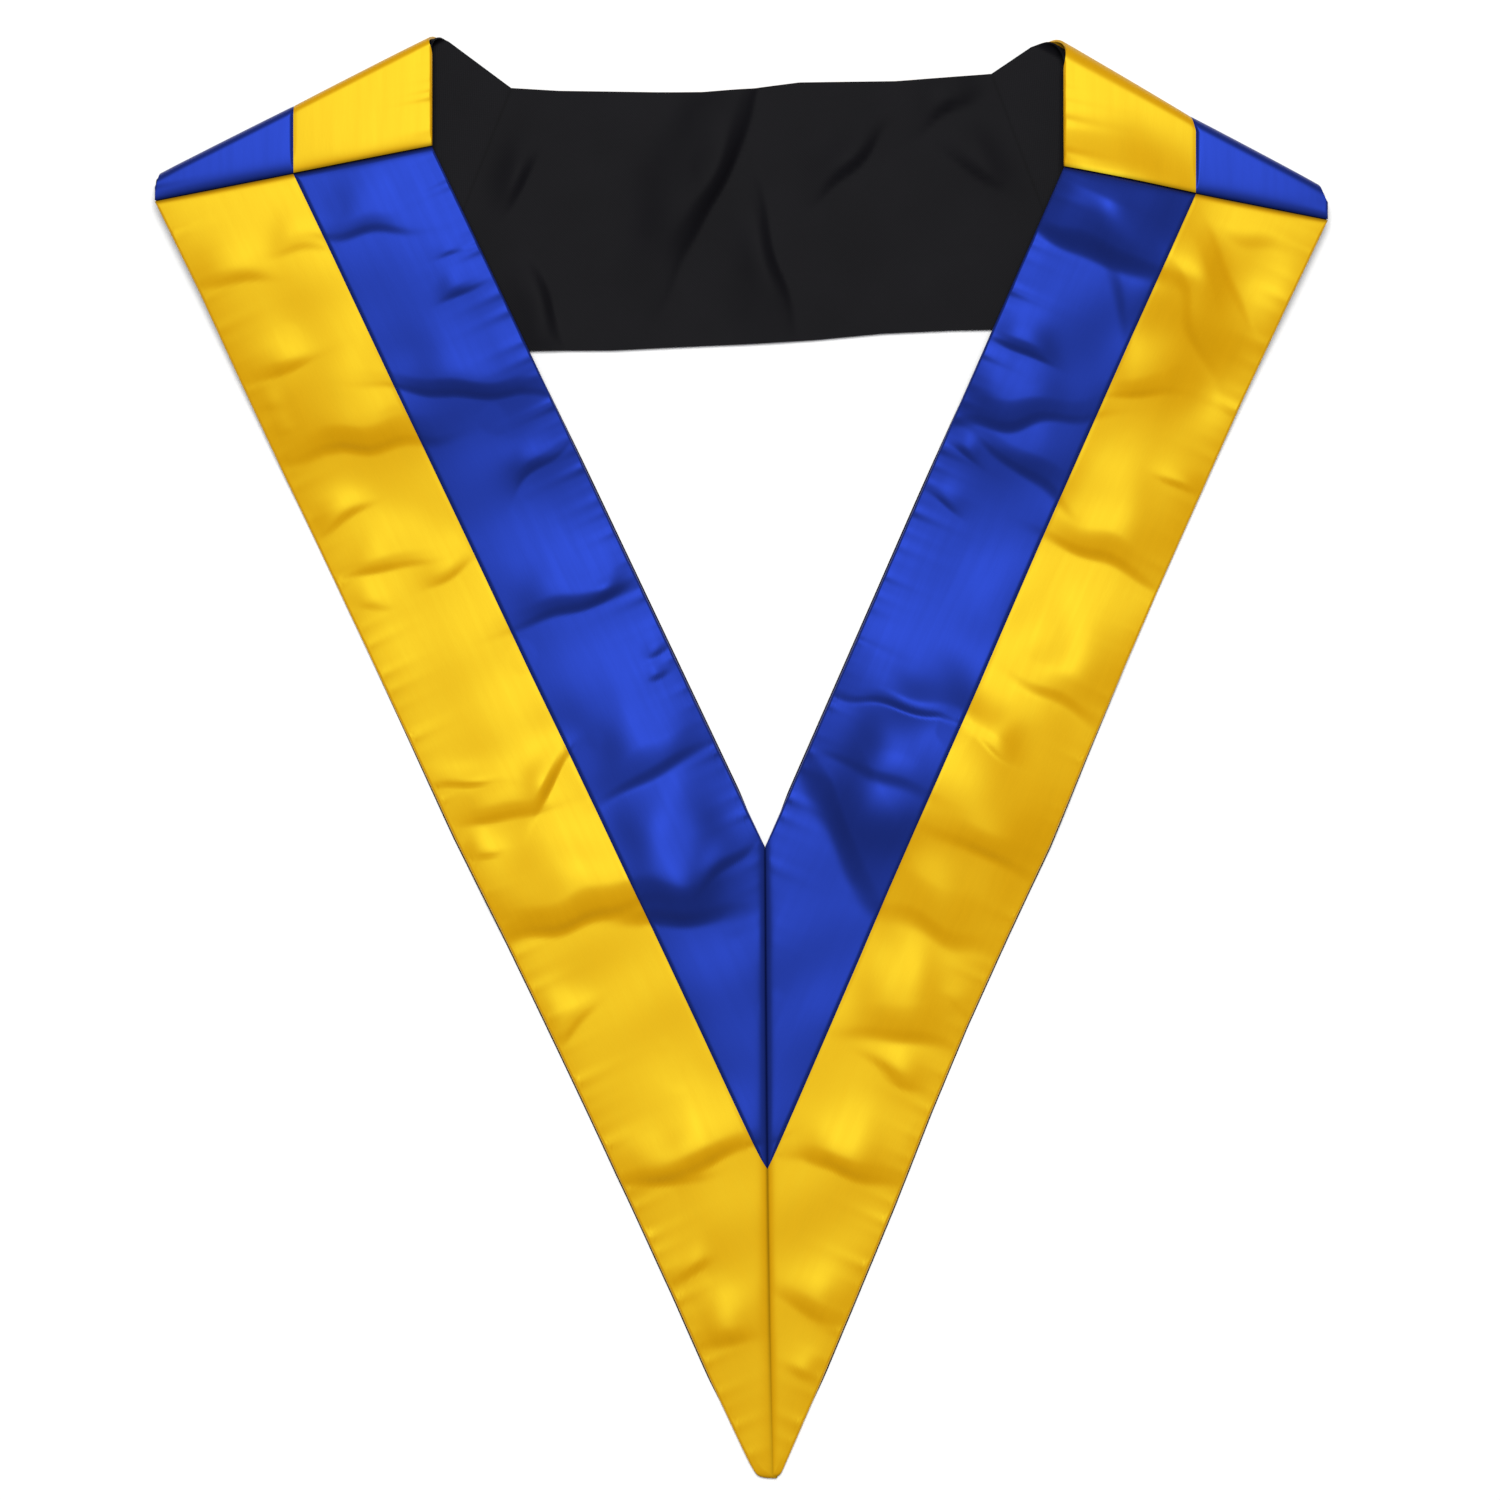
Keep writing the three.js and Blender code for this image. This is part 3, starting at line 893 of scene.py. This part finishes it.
def sew_lining(band, cells, cloth):
    span = (0, band.width)
    node = f"{band.name}_lining"
    piece = lay_cloth(f"{node}_cloth", band, span, LINING_COLUMNS, cells, None, cloth)
    finish_cloth(piece, band, node, span, cloth.lining_thickness, "black_lining")


def sew_band(kind, side, lining_cells):
    """Sews a band's stripes, which keep off the seams at their ends, and its lining."""
    cloth = bpy.context.scene.collar_cloth
    band = kind(side, gap=HALF_SEAM)
    for which, colour in band.stripes:
        sew_stripe(band, which, colour, cloth)
    sew_lining(kind(side, gap=0), lining_cells, cloth)


# Shader groups

class NodeSheet:
    """Adds nodes to a tree from left to right and links them."""

    spacing = 220

    def __init__(self, tree):
        self.tree = tree
        tree.nodes.clear()
        self.column = 0

    def add(self, kind, inputs=None, **settings):
        node = self.tree.nodes.new(kind)
        node.location = (self.spacing * self.column, 0)
        self.column += 1
        for name, value in settings.items():
            setattr(node, name, value)
        for key, value in (inputs or {}).items():
            if isinstance(value, bpy.types.NodeSocket):
                self.tree.links.new(value, node.inputs[key])
            else:
                node.inputs[key].default_value = value
        return node

    def maths(self, operation, *values):
        return self.add("ShaderNodeMath", dict(enumerate(values)), operation=operation).outputs[0]

    def noise(self, place, scale, detail):
        inputs = {"Vector": place, "Scale": scale, "Detail": detail}
        return self.add("ShaderNodeTexNoise", inputs).outputs["Fac"]

    def tint(self, colour, factor):
        """Multiplies a colour by a factor."""
        inputs = {0: colour, 1: factor}
        return self.add("ShaderNodeVectorMath", inputs, operation="MULTIPLY").outputs[0]

    def threads(self):
        """Where a point lies on the cloth, across its threads as X and along them as Y"""
        threads = self.add("ShaderNodeUVMap", uv_map=THREAD_MAP).outputs["UV"]
        return self.add("ShaderNodeSeparateXYZ", {0: threads}).outputs

    def thread_noise(self, across, along, detail):
        place = self.add("ShaderNodeCombineXYZ", {"X": across, "Y": along}).outputs[0]
        return self.noise(place, 1, detail)

    def seam_shade(self, strength):
        # Painted shade at the seams, as strong as given, from the seam mask
        seam = self.add("ShaderNodeAttribute", attribute_name=SEAM_SHADE_MASK).outputs["Fac"]
        return self.maths("MULTIPLY", seam, strength)


def new_group(name, inputs, outputs):
    group = bpy.data.node_groups.new(name, "ShaderNodeTree")
    for socket, (kind, default) in inputs.items():
        group.interface.new_socket(socket, in_out="INPUT", socket_type=kind).default_value = default
    for socket, kind in outputs.items():
        group.interface.new_socket(socket, in_out="OUTPUT", socket_type=kind)
    sheet = NodeSheet(group)
    return group, sheet, sheet.add("NodeGroupInput").outputs


def satin_group():
    """Long floating threads: fine ribs along the warp, broad streaks in the colour, painted shade at
    the seams
    """
    name = "Satin threads"
    if name in bpy.data.node_groups:
        return bpy.data.node_groups[name]
    group, sheet, given = new_group(
        name,
        {
            "Colour": ("NodeSocketColor", (1, 1, 1, 1)),
            "Thread": ("NodeSocketFloat", 0.4 * MM),
            "Float length": ("NodeSocketFloat", 5 * MM),
            "Streaks": ("NodeSocketFloat", 0.08),
            "Seam shade": ("NodeSocketFloat", 0.5),
            "Roughness": ("NodeSocketFloat", SATIN_ROUGHNESS),
        },
        {"Colour": "NodeSocketColor", "Roughness": "NodeSocketFloat", "Height": "NodeSocketFloat"},
    )
    place = sheet.threads()
    weft = sheet.maths("DIVIDE", place["X"], given["Thread"])
    warp = sheet.maths("DIVIDE", place["Y"], given["Float length"])
    fine = sheet.thread_noise(weft, warp, detail=2)
    broad_weft = sheet.maths("MULTIPLY", weft, STREAKS_ACROSS)
    broad_warp = sheet.maths("MULTIPLY", warp, STREAKS_ALONG)
    broad = sheet.thread_noise(broad_weft, broad_warp, detail=3)

    mixed = sheet.maths("MULTIPLY_ADD", fine, 0.5, sheet.maths("MULTIPLY", broad, 0.5))
    streak = sheet.maths("MULTIPLY", sheet.maths("SUBTRACT", mixed, 0.5), given["Streaks"])
    shade = sheet.seam_shade(given["Seam shade"])
    factor = sheet.maths("SUBTRACT", sheet.maths("MULTIPLY_ADD", streak, 2, 1), shade)
    colour = sheet.tint(given["Colour"], factor)
    smoothest = sheet.maths("SUBTRACT", given["Roughness"], ROUGHNESS_SPREAD / 2)
    roughness = sheet.maths("MULTIPLY_ADD", broad, ROUGHNESS_SPREAD, smoothest)
    sheet.add("NodeGroupOutput", {"Colour": colour, "Roughness": roughness, "Height": fine})
    return group


def plain_weave_group():
    """Crossed threads, over and under, with an uneven matt colour and painted shade at the seams"""
    name = "Plain weave"
    if name in bpy.data.node_groups:
        return bpy.data.node_groups[name]
    group, sheet, given = new_group(
        name,
        {
            "Colour": ("NodeSocketColor", (1, 1, 1, 1)),
            "Thread": ("NodeSocketFloat", 0.5 * MM),
            "Unevenness": ("NodeSocketFloat", 0.3),
            "Seam shade": ("NodeSocketFloat", 0.3),
        },
        {"Colour": "NodeSocketColor", "Height": "NodeSocketFloat"},
    )
    place = sheet.threads()
    waves = []
    for axis in "XY":
        turns = sheet.maths("DIVIDE", place[axis], given["Thread"])
        waves.append(sheet.maths("SINE", sheet.maths("MULTIPLY", turns, math.pi)))
    weave = sheet.maths("MULTIPLY_ADD", sheet.maths("MULTIPLY", *waves), 0.5, 0.5)
    patches = sheet.noise(sheet.add("ShaderNodeTexCoord").outputs["Object"], scale=40, detail=5)
    uneven = sheet.maths("MULTIPLY", sheet.maths("SUBTRACT", patches, 0.5), given["Unevenness"])
    rib = sheet.maths("MULTIPLY_ADD", weave, WEAVE_CONTRAST, 1 - WEAVE_CONTRAST / 2)
    shade = sheet.seam_shade(given["Seam shade"])
    factor = sheet.maths("SUBTRACT", sheet.maths("MULTIPLY_ADD", uneven, 2, rib), shade)
    colour = sheet.tint(given["Colour"], factor)
    sheet.add("NodeGroupOutput", {"Colour": colour, "Height": weave})
    return group


# Materials

def start_material(name, principled):
    """A material with its Principled shader, whose constant values are set on its own sockets"""
    material = bpy.data.materials.new(name)
    material.use_nodes = True
    sheet = NodeSheet(material.node_tree)
    shader = sheet.add("ShaderNodeBsdfPrincipled", principled)
    sheet.add("ShaderNodeOutputMaterial", {"Surface": shader.outputs[0]})
    return material, sheet, shader


def link_group(sheet, shader, group, values, bump_strength, bump_distance):
    made = sheet.add("ShaderNodeGroup", node_tree=group)
    for socket, value in values.items():
        made.inputs[socket].default_value = value
    links = sheet.tree.links
    links.new(made.outputs["Colour"], shader.inputs["Base Color"])
    if "Roughness" in made.outputs:
        links.new(made.outputs["Roughness"], shader.inputs["Roughness"])
    bump = sheet.add(
        "ShaderNodeBump",
        {"Strength": bump_strength, "Distance": bump_distance, "Height": made.outputs["Height"]},
    )
    links.new(bump.outputs["Normal"], shader.inputs["Normal"])


def satin_material(name, colour, gloss):
    """gloss is the colour of the light that comes back mirror-like from the floating threads."""
    finish = {"IOR": SATIN_IOR, "Specular IOR Level": 0.5, "Specular Tint": (*gloss, 1)}
    material, sheet, shader = start_material(name, finish)
    # Seam shade is how dark the painted shade at the seams gets.
    values = {
        "Colour": (*colour, 1),
        "Streaks": 0.06,
        "Seam shade": 0.7,
        "Roughness": SATIN_ROUGHNESS,
    }
    link_group(sheet, shader, satin_group(), values, bump_strength=0.15, bump_distance=0.05 * MM)
    return material


def lining_material(name, colour):
    finish = {"Roughness": 0.48, "Specular IOR Level": 0.03}
    material, sheet, shader = start_material(name, finish)
    # Seam shade is how dark the painted shade at the seams gets.
    values = {"Colour": (*colour, 1), "Thread": 0.5 * MM, "Unevenness": 0.3, "Seam shade": 0.3}
    link_group(sheet, shader, plain_weave_group(), values, bump_strength=0.3, bump_distance=0.1 * MM)
    return material


def cloth_material(slot):
    name = f"dressed_{slot}"
    if name in bpy.data.materials:
        return bpy.data.materials[name]
    colours = bpy.context.scene.collar_colours
    if slot == "yellow_satin":
        return satin_material(name, colours.yellow, colours.yellow_gloss)
    if slot == "blue_satin":
        return satin_material(name, colours.blue, colours.blue_gloss)
    return lining_material(name, colours.lining)


# Stage

def add_floor(colour):
    mesh_work = bmesh.new()
    bmesh.ops.create_grid(mesh_work, x_segments=1, y_segments=1, size=FLOOR_SIZE / 2)
    mesh = bpy.data.meshes.new("floor")
    mesh_work.to_mesh(mesh)
    mesh_work.free()
    floor = bpy.data.objects.new("floor", mesh)
    bpy.context.scene.collection.objects.link(floor)
    material, _, _ = start_material("floor", {"Base Color": (*colour, 1), "Roughness": 0.7})
    mesh.materials.append(material)


def add_softbox():
    """One soft light from above the crests, aimed at the frame's origin"""
    light = bpy.data.lights.new("softbox", "AREA")
    light.shape = "SQUARE"
    light.size = SOFTBOX_SIZE
    light.energy = SOFTBOX_POWER
    lamp = bpy.data.objects.new("softbox", light)
    lamp.location = SOFTBOX_PLACE
    way = Vector() - Vector(SOFTBOX_PLACE)
    lamp.rotation_euler = way.to_track_quat("-Z", "Y").to_euler()
    bpy.context.scene.collection.objects.link(lamp)


def add_sky():
    world = bpy.data.worlds.new("studio")
    world.use_nodes = True
    sky = world.node_tree.nodes["Background"]
    sky.inputs["Color"].default_value = (1, 1, 1, 1)
    sky.inputs["Strength"].default_value = SKY_STRENGTH
    bpy.context.scene.world = world


def add_camera():
    """Straight above the collar, with the crests at the top of the picture"""
    data = bpy.data.cameras.new("camera")
    data.lens = CAMERA_LENS
    data.sensor_width = CAMERA_SENSOR
    camera = bpy.data.objects.new("camera", data)
    height = VIEW_WIDTH * CAMERA_LENS / CAMERA_SENSOR
    camera.location = (*VIEW_MIDDLE, height)
    bpy.context.scene.collection.objects.link(camera)
    bpy.context.scene.camera = camera


# Operators

class COLLAR_OT_stage(bpy.types.Operator):
    """Add the floor, the soft light and the camera that looks straight down"""

    bl_idname = "collar.stage"
    bl_label = "Stage"

    def execute(self, context):
        add_floor(context.scene.collar_colours.floor)
        add_sky()
        add_softbox()
        add_camera()
        context.scene.view_settings.view_transform = "Standard"
        return {"FINISHED"}


class COLLAR_OT_legs(bpy.types.Operator):
    """Sew the two legs of the V: blue and yellow satin on a black lining"""

    bl_idname = "collar.legs"
    bl_label = "Legs"

    def execute(self, context):
        for side in HALVES:
            sew_band(LegBand, side, lining_cells=LEG_CELLS // 2)
        return {"FINISHED"}


class COLLAR_OT_shoulders(bpy.types.Operator):
    """Sew the two shoulders, which fold over the crests to the back"""

    bl_idname = "collar.shoulders"
    bl_label = "Shoulders"

    def execute(self, context):
        for side in HALVES:
            sew_band(ShoulderBand, side, lining_cells=SHOULDER_CELLS)
        return {"FINISHED"}


class COLLAR_OT_back_panel(bpy.types.Operator):
    """Sew the back panel, which lies under with its lining up"""

    bl_idname = "collar.back_panel"
    bl_label = "Back panel"

    def execute(self, context):
        sew_band(BackBand, "back", lining_cells=BACK_CELLS)
        return {"FINISHED"}


class COLLAR_PT_sidebar(bpy.types.Panel):
    bl_idname = "COLLAR_PT_sidebar"
    bl_label = "Masonic Collar"
    bl_space_type = "VIEW_3D"
    bl_region_type = "UI"
    bl_category = "Collar"

    def draw(self, context):
        for settings in (context.scene.collar_cloth, context.scene.collar_colours):
            box = self.layout.box()
            for name in settings.__annotations__:
                box.prop(settings, name)
        for operator in OPERATORS:
            self.layout.operator(operator.bl_idname)


OPERATORS = (COLLAR_OT_stage, COLLAR_OT_legs, COLLAR_OT_shoulders, COLLAR_OT_back_panel)
CLASSES = (CollarCloth, CollarColours, *OPERATORS, COLLAR_PT_sidebar)


def register():
    for cls in CLASSES:
        bpy.utils.register_class(cls)
    bpy.types.Scene.collar_cloth = bpy.props.PointerProperty(type=CollarCloth)
    bpy.types.Scene.collar_colours = bpy.props.PointerProperty(type=CollarColours)


def unregister():
    del bpy.types.Scene.collar_colours
    del bpy.types.Scene.collar_cloth
    for cls in reversed(CLASSES):
        bpy.utils.unregister_class(cls)


def main():
    register()
    bpy.ops.collar.stage()
    bpy.ops.collar.legs()
    bpy.ops.collar.shoulders()
    bpy.ops.collar.back_panel()


if __name__ == "__main__":
    main()
